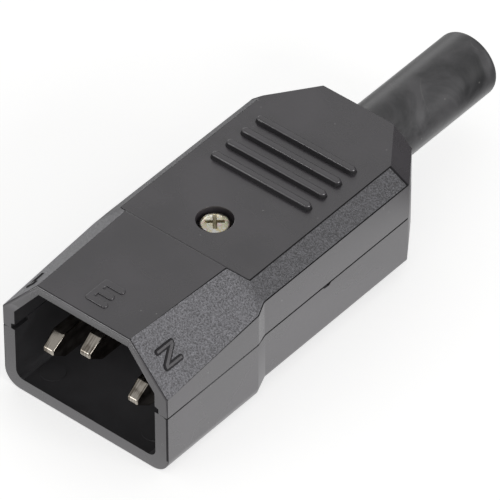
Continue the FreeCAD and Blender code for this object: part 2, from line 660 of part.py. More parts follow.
def make_cover_screw():
    body = new_body("cover_screw")
    profile = new_sketch(body, "screw_profile", "XZ", y=SCREW_STATION, z=SCREW_SEAT)
    add_outline(profile, [
        ("0", "screw_head_height"),
        ("screw_head_diameter / 2", "screw_head_height"),
        ("screw_head_diameter / 2", "0"),
        ("screw_shank_diameter / 2", "0"),
        ("screw_shank_diameter / 2", "-screw_shank_length"),
        ("0", "-screw_shank_length"),
    ])
    spin(body, "Revolution", "screw_form", profile)
    crown = sheet.parting_level + sheet.body_height / 2 - sheet.screw_head_sink
    dress(body, "Fillet", "head_rounding", "screw_head_rounding",
          lambda edge: lies_at(edge, "z", crown) and edge.Closed)
    recess = new_sketch(body, "recess_outline", "XY", y=SCREW_STATION,
                        z=SCREW_SEAT + " + screw_head_height")
    arm = "recess_span / 2"
    half = "recess_width / 2"
    add_outline(recess, [
        ("-" + half, "-" + arm), (half, "-" + arm), (half, "-" + half), (arm, "-" + half),
        (arm, half), (half, half), (half, arm), ("-" + half, arm),
        ("-" + half, half), ("-" + arm, half), ("-" + arm, "-" + half), ("-" + half, "-" + half),
    ])
    extrude(body, "Pocket", "cross_recess", recess, "recess_depth")
    return body


def make_boot():
    """A soft sleeve with a flange at the inner end and a rounded outer rim."""
    body = new_body("strain_relief_boot")
    profile = new_sketch(body, "boot_profile", "XY", z="parting_level")
    add_outline(profile, [
        ("cord_diameter / 2", FLANGE_FRONT),
        (FLANGE_RADIUS, FLANGE_FRONT),
        (FLANGE_RADIUS, FLANGE_BACK),
        (BOOT_RADIUS, FLANGE_BACK),
        (BOOT_RADIUS, "housing_length + boot_length"),
        ("cord_diameter / 2", "housing_length + boot_length"),
    ])
    spin(body, "Revolution", "sleeve", profile)
    end = sheet.housing_length + sheet.boot_length
    wide = sheet.cord_diameter / 2 + sheet.boot_wall

    def outer_rim(edge):
        return lies_at(edge, "y", end) and edge.BoundBox.XLength > 2 * wide - 0.01

    dress(body, "Fillet", "rim", "boot_rim_radius", outer_rim)
    return body


pieces = [
    make_cover_shell(),
    make_base_shell(),
    make_line_pin("line_pin", "-pin_pitch / 2"),
    make_line_pin("neutral_pin", "pin_pitch / 2"),
    make_earth_pin(),
    make_terminal_screws(),
    make_cord_clamp(),
    make_clamp_screws(),
    make_cover_screw(),
    make_boot(),
]
doc.recompute()

for item in doc.Objects:
    if "Invalid" in item.State or "Error" in item.State:
        raise RuntimeError("failed: %s %s" % (item.Name, item.State))
for piece in pieces:
    if piece.Shape.isNull() or not piece.Shape.isValid():
        raise RuntimeError("bad shape: " + piece.Label)

os.makedirs("parts", exist_ok=True)
for piece in pieces:
    piece.Shape.exportStep("parts/%s.step" % piece.Label)
    box = piece.Shape.BoundBox
    print(piece.Label, len(piece.Shape.Solids), "solids, volume", round(piece.Shape.Volume, 2),
          "box", [round(v, 2) for v in (box.XMin, box.XMax, box.YMin, box.YMax, box.ZMin, box.ZMax)])
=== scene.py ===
import math
import bmesh
import bpy
from mathutils import Matrix, Vector


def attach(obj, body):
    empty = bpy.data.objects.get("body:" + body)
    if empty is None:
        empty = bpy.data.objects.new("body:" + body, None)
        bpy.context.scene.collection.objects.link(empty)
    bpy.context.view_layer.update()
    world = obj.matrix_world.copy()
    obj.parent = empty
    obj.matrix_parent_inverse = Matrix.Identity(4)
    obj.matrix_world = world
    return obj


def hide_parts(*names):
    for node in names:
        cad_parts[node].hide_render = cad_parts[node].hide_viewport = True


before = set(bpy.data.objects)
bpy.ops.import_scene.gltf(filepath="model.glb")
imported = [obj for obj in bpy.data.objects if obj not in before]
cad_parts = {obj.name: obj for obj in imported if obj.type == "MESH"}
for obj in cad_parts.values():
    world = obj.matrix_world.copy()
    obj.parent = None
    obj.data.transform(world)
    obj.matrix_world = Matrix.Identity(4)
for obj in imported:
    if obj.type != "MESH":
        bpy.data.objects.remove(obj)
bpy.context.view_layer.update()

scene = bpy.context.scene
scene.view_settings.view_transform = "Standard"
mm = 0.001
print("frame loaded:", sorted(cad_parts))


def linearColour(hexText):
    parts = [int(hexText[i:i + 2], 16) / 255 for i in (1, 3, 5)]
    return [c / 12.92 if c <= 0.04045 else ((c + 0.055) / 1.055) ** 2.4 for c in parts] + [1.0]


# one node, its settings by socket or property name, its links by socket name
def addNode(tree, kind, settings=None, links=None):
    node = tree.nodes.new(kind)
    for name, value in (settings or {}).items():
        if isinstance(name, str) and hasattr(node, name):
            setattr(node, name, value)
        else:
            node.inputs[name].default_value = value
    for name, source in (links or {}).items():
        tree.links.new(source, node.inputs[name])
    return node


def startMaterial(name):
    material = bpy.data.materials.new(name)
    material.use_nodes = True
    tree = material.node_tree
    tree.nodes.clear()
    out = addNode(tree, "ShaderNodeOutputMaterial")
    place = addNode(tree, "ShaderNodeTexCoord").outputs["Object"]
    return material, tree, out, place


# patterns read metres, so a pattern with one feature per so many millimetres has this scale
def scaleFor(millimetres):
    return 1000.0 / millimetres


noiseSpan = {"From Min": 0.3, "From Max": 0.7}  # most of a noise pattern lies between these


# black polyamide, moulded against a stoned steel face: satin, with faint flow clouds and handling dust;
# its grain is drawn coarser than the real one, so that it shows
def makeSatinPolyamide():
    look = {"colour": "#353236", "mottle": "#474348", "smooth": 0.24, "rough": 0.31, "gloss": 1.0,
            "ior": 1.66, "cloud": 9.0, "cloudShare": 0.5, "grain": 0.3, "grainShare": 0.6, "grainDepth": 0.02,
            "dustColour": "#9c9b9a", "dust": 2.4, "dustAndPaintedLightShare": 0.5,
            "dustEdge": 0.06, "dustCore": 0.02}  # radii of a speck as shares of the spacing
    material, tree, out, place = startMaterial("polyamide moulded satin")
    cloud = addNode(tree, "ShaderNodeTexNoise", {"Scale": scaleFor(look["cloud"]), "Detail": 3.0},
                    {"Vector": place})
    rough = addNode(tree, "ShaderNodeMapRange",
                    {**noiseSpan, "To Min": look["smooth"], "To Max": look["rough"]},
                    {"Value": cloud.outputs["Fac"]})
    grain = addNode(tree, "ShaderNodeTexNoise", {"Scale": scaleFor(look["grain"]), "Detail": 2.0},
                    {"Vector": place})
    dots = addNode(tree, "ShaderNodeTexVoronoi", {"Scale": scaleFor(look["dust"])}, {"Vector": place})
    speck = addNode(tree, "ShaderNodeMapRange",
                    {"From Min": look["dustEdge"], "From Max": look["dustCore"], "To Max": look["dustAndPaintedLightShare"]},
                    {"Value": dots.outputs["Distance"]})
    flow = addNode(tree, "ShaderNodeMapRange",
                   {"From Min": 0.35, "From Max": 0.65, "To Max": look["cloudShare"]},
                   {"Value": cloud.outputs["Fac"]})
    share = addNode(tree, "ShaderNodeMath", {"operation": "MULTIPLY_ADD", 1: look["grainShare"]},
                    {0: grain.outputs["Fac"], 2: flow.outputs["Result"]})
    base = addNode(tree, "ShaderNodeMix", {"data_type": "RGBA", "A": linearColour(look["colour"]),
                                           "B": linearColour(look["mottle"])},
                   {"Factor": share.outputs["Value"]})
    tint = addNode(tree, "ShaderNodeMix", {"data_type": "RGBA", "B": linearColour(look["dustColour"])},
                   {"A": base.outputs["Result"], "Factor": speck.outputs["Result"]})
    bump = addNode(tree, "ShaderNodeBump", {"Strength": 0.2, "Distance": look["grainDepth"] * mm},
                   {"Height": grain.outputs["Fac"]})
    shader = addNode(tree, "ShaderNodeBsdfPrincipled",
                     {"IOR": look["ior"], "Specular IOR Level": look["gloss"]},
                     {"Base Color": tint.outputs["Result"], "Roughness": rough.outputs["Result"],
                      "Normal": bump.outputs["Normal"]})
    tree.links.new(shader.outputs["BSDF"], out.inputs["Surface"])
    return material


# the same polyamide against a spark-eroded face: an even grain that scatters the light, drawn coarser than
# the real one, so that it shows; on the body behind the step its colour is darkened, a painted shade
def makeErodedPolyamide():
    look = {"low": "#5c5b5e", "high": "#98979d", "rough": 0.5, "gloss": 1.0, "ior": 1.52, "grain": 0.24,
            "grainDepth": 0.3, "dim": 0.58, "dimFrom": -20.9, "dimTo": -19.0}
    material, tree, out, place = startMaterial("polyamide moulded spark eroded")
    pits = addNode(tree, "ShaderNodeTexNoise",
                   {"Scale": scaleFor(look["grain"]), "Detail": 2.0, "Roughness": 0.6}, {"Vector": place})
    tint = addNode(tree, "ShaderNodeMapRange", {"From Min": 0.35, "From Max": 0.7},
                   {"Value": pits.outputs["Fac"]})
    shade = addNode(tree, "ShaderNodeMix", {"data_type": "RGBA", "A": linearColour(look["low"]),
                                            "B": linearColour(look["high"])},
                    {"Factor": tint.outputs["Result"]})
    spot = addNode(tree, "ShaderNodeSeparateXYZ", {}, {"Vector": place})
    # painted shade: the colour darkens from the step's head to its foot and stays darker on the body
    body = addNode(tree, "ShaderNodeMapRange",
                   {"From Min": look["dimFrom"] * mm, "From Max": look["dimTo"] * mm, "To Min": 1.0,
                    "To Max": look["dim"]}, {"Value": spot.outputs["Y"]})
    paintedShadeTone = addNode(tree, "ShaderNodeVectorMath", {"operation": "SCALE"},
                     {0: shade.outputs["Result"], "Scale": body.outputs["Result"]})
    bump = addNode(tree, "ShaderNodeBump", {"Strength": 1.0, "Distance": look["grainDepth"] * mm},
                   {"Height": pits.outputs["Fac"]})
    shader = addNode(tree, "ShaderNodeBsdfPrincipled",
                     {"IOR": look["ior"], "Roughness": look["rough"], "Specular IOR Level": look["gloss"]},
                     {"Base Color": paintedShadeTone.outputs["Vector"], "Normal": bump.outputs["Normal"]})
    tree.links.new(shader.outputs["BSDF"], out.inputs["Surface"])
    return material


# a dull skin whose thin film clouds it between two tones
def makeFilmed(name, look):
    material, tree, out, place = startMaterial(name)
    film = addNode(tree, "ShaderNodeTexNoise", {"Scale": scaleFor(look["film"]), "Detail": 3.0},
                   {"Vector": place})
    tint = addNode(tree, "ShaderNodeMix", {"data_type": "RGBA", "A": linearColour(look["low"]),
                                           "B": linearColour(look["high"])}, {"Factor": film.outputs["Fac"]})
    shader = addNode(tree, "ShaderNodeBsdfPrincipled", look["surface"],
                     {"Base Color": tint.outputs["Result"]})
    tree.links.new(shader.outputs["BSDF"], out.inputs["Surface"])
    return material


# the same polyamide, darker and matt: painted shade in the grooves, the notch, along the rim and on the walls
# of bars and letters
def makePaintedShadePolyamide():
    look = {"low": "#323133", "high": "#3e3d3f", "film": 1.5,
            "surface": {"IOR": 1.52, "Roughness": 0.9, "Specular IOR Level": 0.15}}
    return makeFilmed("polyamide moulded, painted shade", look)


# the same polyamide against the core that forms the mouth: matt, with painted shade near the rim and painted
# light deeper in
def makeCorePolyamide():
    look = {"paintedShadeTone": "#29282a", "paintedLightTone": "#68676a", "rough": 0.7, "gloss": 0.3, "ior": 1.52, "from": -38.2,
            "to": -30.0, "dustAndPaintedLightShare": 0.8, "scuff": 2.5, "scuffShare": 0.2}
    material, tree, out, place = startMaterial("polyamide moulded on the core")
    scuff = addNode(tree, "ShaderNodeTexNoise", {"Scale": scaleFor(look["scuff"]), "Detail": 4.0},
                    {"Vector": place})
    spot = addNode(tree, "ShaderNodeSeparateXYZ", {}, {"Vector": place})
    # painted shade near the rim turns to painted light deeper in, with random scuffs on top
    deep = addNode(tree, "ShaderNodeMapRange",
                   {"From Min": look["from"] * mm, "From Max": look["to"] * mm, "To Max": look["dustAndPaintedLightShare"]},
                   {"Value": spot.outputs["Y"]})
    share = addNode(tree, "ShaderNodeMath", {"operation": "MULTIPLY_ADD", 1: look["scuffShare"]},
                    {0: scuff.outputs["Fac"], 2: deep.outputs["Result"]})
    tint = addNode(tree, "ShaderNodeMix", {"data_type": "RGBA", "A": linearColour(look["paintedShadeTone"]),
                                           "B": linearColour(look["paintedLightTone"])},
                   {"Factor": share.outputs["Value"]})
    shader = addNode(tree, "ShaderNodeBsdfPrincipled",
                     {"IOR": look["ior"], "Roughness": look["rough"], "Specular IOR Level": look["gloss"]},
                     {"Base Color": tint.outputs["Result"]})
    tree.links.new(shader.outputs["BSDF"], out.inputs["Surface"])
    return material


# soft thermoplastic rubber, moulded matt: cloudy with handling, pale dust at a low angle, faint curved
# scratches; its grain is drawn coarser than the real one, so that it shows
def makeRubber():
    look = {"dark": "#232325", "pale": "#555456", "smooth": 0.3, "rough": 0.42, "gloss": 1.0, "ior": 1.5,
            "sheen": 0.6, "sheenRough": 0.3, "smudge": 6.0, "grain": 0.3, "grainDepth": 0.03,
            "scratch": 13.0, "scratchFold": 0.06, "scratchWidth": 0.003, "scratchShare": 0.16,
            "dustColour": "#9a9894", "dust": 3.0, "dustAndPaintedLightShare": 0.5, "dustEdge": 0.045, "dustCore": 0.02}
    material, tree, out, place = startMaterial("thermoplastic rubber moulded matt")
    smudge = addNode(tree, "ShaderNodeTexNoise",
                     {"Scale": scaleFor(look["smudge"]), "Detail": 6.0, "Roughness": 0.6, "Distortion": 0.8},
                     {"Vector": place})
    cloud = addNode(tree, "ShaderNodeMapRange", {"From Min": 0.36, "From Max": 0.66},
                    {"Value": smudge.outputs["Fac"]})
    base = addNode(tree, "ShaderNodeMix", {"data_type": "RGBA", "A": linearColour(look["dark"]),
                                           "B": linearColour(look["pale"])},
                   {"Factor": cloud.outputs["Result"]})
    # scratches run where a slow noise passes certain values, and only in the paler clouds
    field = addNode(tree, "ShaderNodeTexNoise", {"Scale": scaleFor(look["scratch"]), "Detail": 0.5},
                    {"Vector": place})
    ridge = addNode(tree, "ShaderNodeMath", {"operation": "PINGPONG", 1: look["scratchFold"]},
                    {0: field.outputs["Fac"]})
    line = addNode(tree, "ShaderNodeMapRange",
                   {"From Min": look["scratchWidth"], "From Max": 0.0, "To Max": look["scratchShare"]},
                   {"Value": ridge.outputs["Value"]})
    here = addNode(tree, "ShaderNodeMapRange", {"From Min": 0.5, "From Max": 0.62},
                   {"Value": smudge.outputs["Fac"]})
    scratch = addNode(tree, "ShaderNodeMath", {"operation": "MULTIPLY"},
                      {0: line.outputs["Result"], 1: here.outputs["Result"]})
    dots = addNode(tree, "ShaderNodeTexVoronoi", {"Scale": scaleFor(look["dust"])}, {"Vector": place})
    speck = addNode(tree, "ShaderNodeMapRange",
                    {"From Min": look["dustEdge"], "From Max": look["dustCore"], "To Max": look["dustAndPaintedLightShare"]},
                    {"Value": dots.outputs["Distance"]})
    marks = addNode(tree, "ShaderNodeMath", {"operation": "MAXIMUM"},
                    {0: speck.outputs["Result"], 1: scratch.outputs["Value"]})
    tint = addNode(tree, "ShaderNodeMix", {"data_type": "RGBA", "B": linearColour(look["dustColour"])},
                   {"A": base.outputs["Result"], "Factor": marks.outputs["Value"]})
    rough = addNode(tree, "ShaderNodeMapRange",
                    {**noiseSpan, "To Min": look["smooth"], "To Max": look["rough"]},
                    {"Value": smudge.outputs["Fac"]})
    grain = addNode(tree, "ShaderNodeTexNoise", {"Scale": scaleFor(look["grain"]), "Detail": 3.0},
                    {"Vector": place})
    bump = addNode(tree, "ShaderNodeBump", {"Strength": 0.25, "Distance": look["grainDepth"] * mm},
                   {"Height": grain.outputs["Fac"]})
    shader = addNode(tree, "ShaderNodeBsdfPrincipled",
                     {"IOR": look["ior"], "Specular IOR Level": look["gloss"], "Sheen Weight": look["sheen"],
                      "Sheen Roughness": look["sheenRough"]},
                     {"Base Color": tint.outputs["Result"], "Roughness": rough.outputs["Result"],
                      "Normal": bump.outputs["Normal"]})
    tree.links.new(shader.outputs["BSDF"], out.inputs["Surface"])
    return material


# nickel plate on brass strip: bright, streaked by the draw lines along the pin, with a few dull spots;
# the lines are drawn coarser than the real ones, so that they show
def makeNickelPlate():
    look = {"bright": "#bfb8ae", "dull": "#736b61", "smooth": 0.08, "rough": 0.18, "lines": 0.2,
            "lineRun": (1.0, 0.012, 0.12), "lineDepth": 0.04, "spots": 1.5}
    material, tree, out, place = startMaterial("nickel plate on drawn brass")
    run = addNode(tree, "ShaderNodeMapping", {"Scale": look["lineRun"]}, {"Vector": place})
    lines = addNode(tree, "ShaderNodeTexNoise", {"Scale": scaleFor(look["lines"]), "Detail": 1.5},
                    {"Vector": run.outputs["Vector"]})
    spots = addNode(tree, "ShaderNodeTexNoise", {"Scale": scaleFor(look["spots"]), "Detail": 2.0},
                    {"Vector": place})
    worn = addNode(tree, "ShaderNodeMath", {"operation": "MULTIPLY"},
                   {0: lines.outputs["Fac"], 1: spots.outputs["Fac"]})
    share = addNode(tree, "ShaderNodeMapRange", {"From Min": 0.15, "From Max": 0.33},
                    {"Value": worn.outputs["Value"]})
    tint = addNode(tree, "ShaderNodeMix", {"data_type": "RGBA", "A": linearColour(look["dull"]),
                                           "B": linearColour(look["bright"])},
                   {"Factor": share.outputs["Result"]})
    rough = addNode(tree, "ShaderNodeMapRange",
                    {**noiseSpan, "To Min": look["smooth"], "To Max": look["rough"]},
                    {"Value": spots.outputs["Fac"]})
    bump = addNode(tree, "ShaderNodeBump", {"Strength": 0.2, "Distance": look["lineDepth"] * mm},
                   {"Height": lines.outputs["Fac"]})
    shader = addNode(tree, "ShaderNodeBsdfPrincipled", {"Metallic": 1.0},
                     {"Base Color": tint.outputs["Result"], "Roughness": rough.outputs["Result"],
                      "Normal": bump.outputs["Normal"]})
    tree.links.new(shader.outputs["BSDF"], out.inputs["Surface"])
    return material


# zinc plate with a thin passivate film: silver, with straw, pink and green patches and driver scuffs
def makeZincPlate():
    look = {"smooth": 0.1, "rough": 0.28, "scuff": 0.45, "scuffDepth": 0.09, "patch": 1.0,
            "film": [(0.36, "#fbfaf6"), (0.44, "#f1e0ab"), (0.5, "#fbfaf6"),
                     (0.55, "#e2e7ba"), (0.61, "#f2cfce"), (0.68, "#fbfaf6")]}
    material, tree, out, place = startMaterial("zinc plate passivated")
    patch = addNode(tree, "ShaderNodeTexNoise",
                    {"Scale": scaleFor(look["patch"]), "Detail": 2.0, "Distortion": 0.8}, {"Vector": place})
    film = addNode(tree, "ShaderNodeValToRGB", {}, {"Fac": patch.outputs["Fac"]})
    ramp = film.color_ramp.elements
    while len(ramp) < len(look["film"]):
        ramp.new(0.5)
    for stop, (spot, colour) in zip(ramp, look["film"]):
        stop.position = spot
        stop.color = linearColour(colour)
    scuff = addNode(tree, "ShaderNodeTexNoise", {"Scale": scaleFor(look["scuff"]), "Detail": 3.0},
                    {"Vector": place})
    rough = addNode(tree, "ShaderNodeMapRange",
                    {**noiseSpan, "To Min": look["smooth"], "To Max": look["rough"]},
                    {"Value": scuff.outputs["Fac"]})
    bump = addNode(tree, "ShaderNodeBump", {"Strength": 0.8, "Distance": look["scuffDepth"] * mm},
                   {"Height": scuff.outputs["Fac"]})
    shader = addNode(tree, "ShaderNodeBsdfPrincipled", {"Metallic": 1.0},
                     {"Base Color": film.outputs["Color"], "Roughness": rough.outputs["Result"],
                      "Normal": bump.outputs["Normal"]})
    tree.links.new(shader.outputs["BSDF"], out.inputs["Surface"])
    return material


# the same plate down in the driver recess: darker, partly dulled by dirt and wear and partly painted shade
def makeDullZinc():
    look = {"low": "#9a9175", "high": "#dcd4bb", "film": 0.4,
            "surface": {"Metallic": 1.0, "Roughness": 0.5}}
    return makeFilmed("zinc plate, dirt and painted shade in the recess", look)


satin = makeSatinPolyamide()
eroded = makeErodedPolyamide()
paintedShadePolyamide = makePaintedShadePolyamide()
core = makeCorePolyamide()
rubber = makeRubber()
nickel = makeNickelPlate()
zinc = makeZincPlate()
recessZincDirtAndShade = makeDullZinc()
print("materials made")

# points this near are one, points this near a plane lie on it (mm), and bends this small are flat (degrees)
meshLook = {"weld": 0.002, "onPlane": 0.004, "flat": 0.6}


# faces that lie in one plane become one face
def mergeFlats(bm):
    bmesh.ops.dissolve_limit(bm, angle_limit=math.radians(meshLook["flat"]), use_dissolve_boundaries=False,
                             verts=bm.verts, edges=bm.edges)
    bm.normal_update()


# a merged copy of a CAD node, in millimetres, with its flat faces whole again
def copyNode(name):
    bm = bmesh.new()
    bm.from_mesh(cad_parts[name].data)
    bm.transform(Matrix.Scale(1000, 4))
    bmesh.ops.remove_doubles(bm, verts=bm.verts, dist=meshLook["weld"])
    mergeFlats(bm)
    return bm


def middle(edge):
    return (edge.verts[0].co + edge.verts[1].co) / 2


# how far an edge's two faces turn from each other, in degrees
def bend(edge):
    return math.degrees(edge.calc_face_angle(0.0))


def bothAt(edge, axis, value):
    return all(abs(v.co[axis] - value) < meshLook["onPlane"] for v in edge.verts)


def roundEdges(bm, edges, width, segments):
    return bmesh.ops.bevel(bm, geom=list(edges), offset=width, offset_type="OFFSET", segments=segments,
                           profile=0.5, affect="EDGES", clamp_overlap=False, loop_slide=True, material=-1)


# a new object from a bmesh, which is used up
def meshObject(name, bm):
    mesh = bpy.data.meshes.new(name)
    bm.to_mesh(mesh)
    bm.free()
    piece = bpy.data.objects.new(name, mesh)
    scene.collection.objects.link(piece)
    return piece


# modifiers become plain mesh
def bake(piece):
    graph = bpy.context.evaluated_depsgraph_get()
    mesh = bpy.data.meshes.new_from_object(piece.evaluated_get(graph))
    piece.modifiers.clear()
    piece.data = mesh


def cutBy(piece, tool, operation="DIFFERENCE", crossing=False):
    cut = piece.modifiers.new("cut", "BOOLEAN")
    cut.operation = operation
    cut.solver = "EXACT"
    cut.use_self = crossing
    cut.object = tool
    bake(piece)
    bpy.data.objects.remove(tool)


# a second mesh with the same list of materials grows together with a piece
def uniteMesh(piece, mesh):
    tool = bpy.data.objects.new(mesh.name, mesh)
    scene.collection.objects.link(tool)
    cutBy(piece, tool, "UNION", crossing=True)


# the list of materials changes, each face keeps its place in it
def setMaterials(mesh, materials):
    kinds = [p.material_index for p in mesh.polygons]
    mesh.materials.clear()
    for material in materials:
        mesh.materials.append(material)
    mesh.polygons.foreach_set("material_index", kinds)


def finishPiece(piece, materials, node, sharp=32):
    mesh = piece.data
    setMaterials(mesh, materials)
    crisp = [e.index for e in mesh.edges if e.use_edge_sharp]
    mesh.polygons.foreach_set("use_smooth", [True] * len(mesh.polygons))
    mesh.set_sharp_from_angle(angle=math.radians(sharp))
    for i in crisp:
        mesh.edges[i].use_edge_sharp = True
    weigh = piece.modifiers.new("flats", "WEIGHTED_NORMAL")
    weigh.keep_sharp = True
    weigh.weight = 80
    bake(piece)
    piece.data.transform(Matrix.Scale(mm, 4))
    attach(piece, "root")
    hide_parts(node)
    print(piece.name, len(piece.data.polygons), "faces")


# an upright block over a flat outline, from one height to another
def blockOver(outline, low, high):
    bm = bmesh.new()
    bottom = bm.faces.new([bm.verts.new((x, y, low)) for x, y in outline])
    grown = bmesh.ops.extrude_face_region(bm, geom=[bottom])["geom"]
    bmesh.ops.translate(bm, verts=[v for v in grown if isinstance(v, bmesh.types.BMVert)],
                        vec=(0, 0, high - low))
    bmesh.ops.recalc_face_normals(bm, faces=bm.faces)
    return bm


# a turned body about Z from points of radius and height, a ring where the profile is closed
def turned(profile, segments, closed=False):
    bm = bmesh.new()
    turns = [2 * math.pi * k / segments for k in range(segments)]
    rings = []
    for radius, height in profile:
        around = turns if radius > 1e-6 else [0.0]  # one point on the axis
        rings.append([bm.verts.new((radius * math.cos(a), radius * math.sin(a), height)) for a in around])
    pairs = list(zip(rings, rings[1:])) + ([(rings[-1], rings[0])] if closed else [])
    for low, high in pairs:
        for k in range(segments):
            j = (k + 1) % segments
            corners = [low[k % len(low)], low[j % len(low)], high[j % len(high)], high[k % len(high)]]
            corners = list(dict.fromkeys(corners))
            if len(corners) > 2:
                bm.faces.new(corners)
    bmesh.ops.recalc_face_normals(bm, faces=bm.faces)
    return bm


def arcPoints(centre, radius, start, end, steps):
    turns = [math.radians(start + (end - start) * k / steps) for k in range(steps + 1)]
    return [(centre[0] + radius * math.cos(a), centre[1] + radius * math.sin(a)) for a in turns]


# both half shells, in millimetres
shellSkins = [satin, eroded, paintedShadePolyamide, core]  # a face's material index is its place in this list
shellLook = {"mouth": -38.55, "head": -20.95, "foot": -18.95, "corner": 9.45, "rear": 15.45,  # along Y
             "parting": 9.9, "top": 19.8, "bodyTop": 17.85, "side": 13.6, "bodySide": 13.05,
             "topFront": 7.6, "topBack": 8.25, "shoulderFront": 12.9, "shoulderBack": 14.6, "band": 2.45,
             "screwY": -13.25, "gland": 6.5, "stepEase": 0.16, "stepReach": 12.9,
             "rimRound": 0.2, "wellRound": 0.08, "groove": 0.16, "grooveDepth": 0.18}


# the sloping cheeks and bevels are grained, but not the bevel across the rear
def isGrained(face):
    look = {"beside": 7, "rearStretch": 2}
    n = face.normal
    c = face.calc_center_median()
    slanted = 0.4 < abs(n.x) < 0.9 and n.z > 0.35
    rearward = n.y > 0.3 and c.y > shellLook["corner"] - look["rearStretch"]
    return slanted and abs(c.x) > look["beside"] and c.z > shellLook["parting"] and not rearward


# the CAD's plain grip bars come off the copy, and the top is closed again
def clearGripBars(bm):
    justAbove = shellLook["bodyTop"] + 0.02
    bars = [f for f in bm.faces if shellLook["foot"] < f.calc_center_median().y < shellLook["corner"]
            and f.calc_center_median().z > justAbove]
    bmesh.ops.delete(bm, geom=bars, context="FACES")
    bmesh.ops.holes_fill(bm, edges=[e for e in bm.edges if e.is_boundary], sides=0)
    mergeFlats(bm)


# the ramp from the shroud to the body, eased in and out over a short stretch at each end
def rebuildStep(bm):
    look = shellLook
    ease = look["stepEase"]
    shares = [0, ease / 3, 2 * ease / 3, ease, 0.5, 1 - ease, 1 - 2 * ease / 3, 1 - ease / 3, 1]
    # X and Z of each corner at the head of the ramp, then at its foot
    corners = [(look["side"], look["parting"], look["bodySide"], look["parting"]),
               (look["side"], look["shoulderBack"], look["bodySide"], look["bodyTop"] - look["band"]),
               (look["topBack"], look["top"], look["bodySide"] - look["band"], look["bodyTop"])]
    corners += [(-x, z, -u, w) for x, z, u, w in reversed(corners)]
    # the CAD's plain ramp comes off first
    old = [f for f in bm.faces if abs(f.normal.y) < 0.95 and abs(f.normal.z) < 0.99
           and all(look["head"] - 0.01 < v.co.y < look["foot"] + 0.01 for v in f.verts)
           and max(Vector((v.co.x, v.co.z - look["parting"])).length for v in f.verts) > look["stepReach"]]
    bmesh.ops.delete(bm, geom=old, context="FACES")

    def eased(t):
        if t < ease:
            return t * t / (2 * ease)
        if t > 1 - ease:
            return 1 - ease - (1 - t) ** 2 / (2 * ease)
        return t - ease / 2

    columns = []
    for x, z, u, w in corners:
        first = min(bm.verts, key=lambda v: (v.co - Vector((x, look["head"], z))).length)
        last = min(bm.verts, key=lambda v: (v.co - Vector((u, look["foot"], w))).length)
        column = [first]
        for t in shares[1:-1]:
            spot = first.co.lerp(last.co, eased(t) / (1 - ease))
            spot.y = first.co.y + (last.co.y - first.co.y) * t
            edge = bm.edges.get((column[-1], last))
            vert = bmesh.utils.edge_split(edge, column[-1], 0.5)[1] if edge else bm.verts.new()
            vert.co = spot
            column.append(vert)
        columns.append(column + [last])
    for right, left in zip(columns, columns[1:]):
        for k in range(len(shares) - 1):
            bm.faces.new((right[k], right[k + 1], left[k + 1], left[k]))
    bmesh.ops.recalc_face_normals(bm, faces=bm.faces)
    bm.normal_update()
    print("step rebuilt:", len(old), "faces off,", sum(not e.is_manifold for e in bm.edges), "open edges")


# each face gets its skin, then the rims of the mouth, the rear and the screw well are rounded
def roundShell(bm):
    look = {"axis": 11, "rimBend": 20, "rimSegments": 3, "wellBend": 60, "wellSegments": 2, "wellReach": 3,
            "stepBend": 10}
    s = shellLook
    for face in bm.faces:
        face.material_index = 1 if isGrained(face) else 0
    rim = []
    for e in bm.edges:
        if bothAt(e, 1, s["mouth"]) and not bothAt(e, 2, s["parting"]) and bend(e) > look["rimBend"]:
            other = [f for f in e.link_faces if abs(f.normal.y) < 0.5]
            if other and other[0].normal.dot(middle(e) - Vector((0, s["mouth"], look["axis"]))) > 0:
                rim.append(e)
    bead = set(roundEdges(bm, rim, s["rimRound"], look["rimSegments"])["faces"])
    for f in bead:  # a shadow line where the rim meets the top, the cheeks and the sides
        for g in [g for e in f.edges for g in e.link_faces if g not in bead]:
            isSide = abs(g.normal.x) > 0.95 and abs(g.normal.y) < 0.3
            if g.material_index == 1 or g.normal.z > 0.95 or isSide:
                f.material_index = 2
    rear = [e for e in bm.edges if bothAt(e, 1, s["rear"]) and not bothAt(e, 2, s["parting"])
            and bend(e) > look["rimBend"]
            and Vector((middle(e).x, middle(e).z - s["parting"])).length > s["gland"]]
    roundEdges(bm, rear, s["rimRound"], look["rimSegments"])
    well = [e for e in bm.edges if bothAt(e, 2, s["bodyTop"]) and bend(e) > look["wellBend"]
            and Vector((middle(e).x, middle(e).y - s["screwY"])).length < look["wellReach"]]
    if well:  # in the cover only
        roundEdges(bm, well, s["wellRound"], look["wellSegments"])
    bm.normal_update()
    for e in bm.edges:
        if (bothAt(e, 1, s["head"]) or bothAt(e, 1, s["foot"])) and bend(e) > look["stepBend"]:
            e.smooth = all(f.material_index == 1 for f in e.link_faces)


# inside of the mouth, from behind the rim to the wall that the pins stand in
def dullMouth(piece):
    look = {"behindRim": 0.3, "wall": 16.2, "axis": 10.5}
    first, last = (shellLook["mouth"] + look[k] for k in ("behindRim", "wall"))
    for p in piece.data.polygons:
        inward = p.normal.dot(Vector((p.center.x, 0, p.center.z - look["axis"]))) < -0.5
        if (inward or p.normal.y < -0.9) and first < p.center.y < last:
            p.material_index = 3


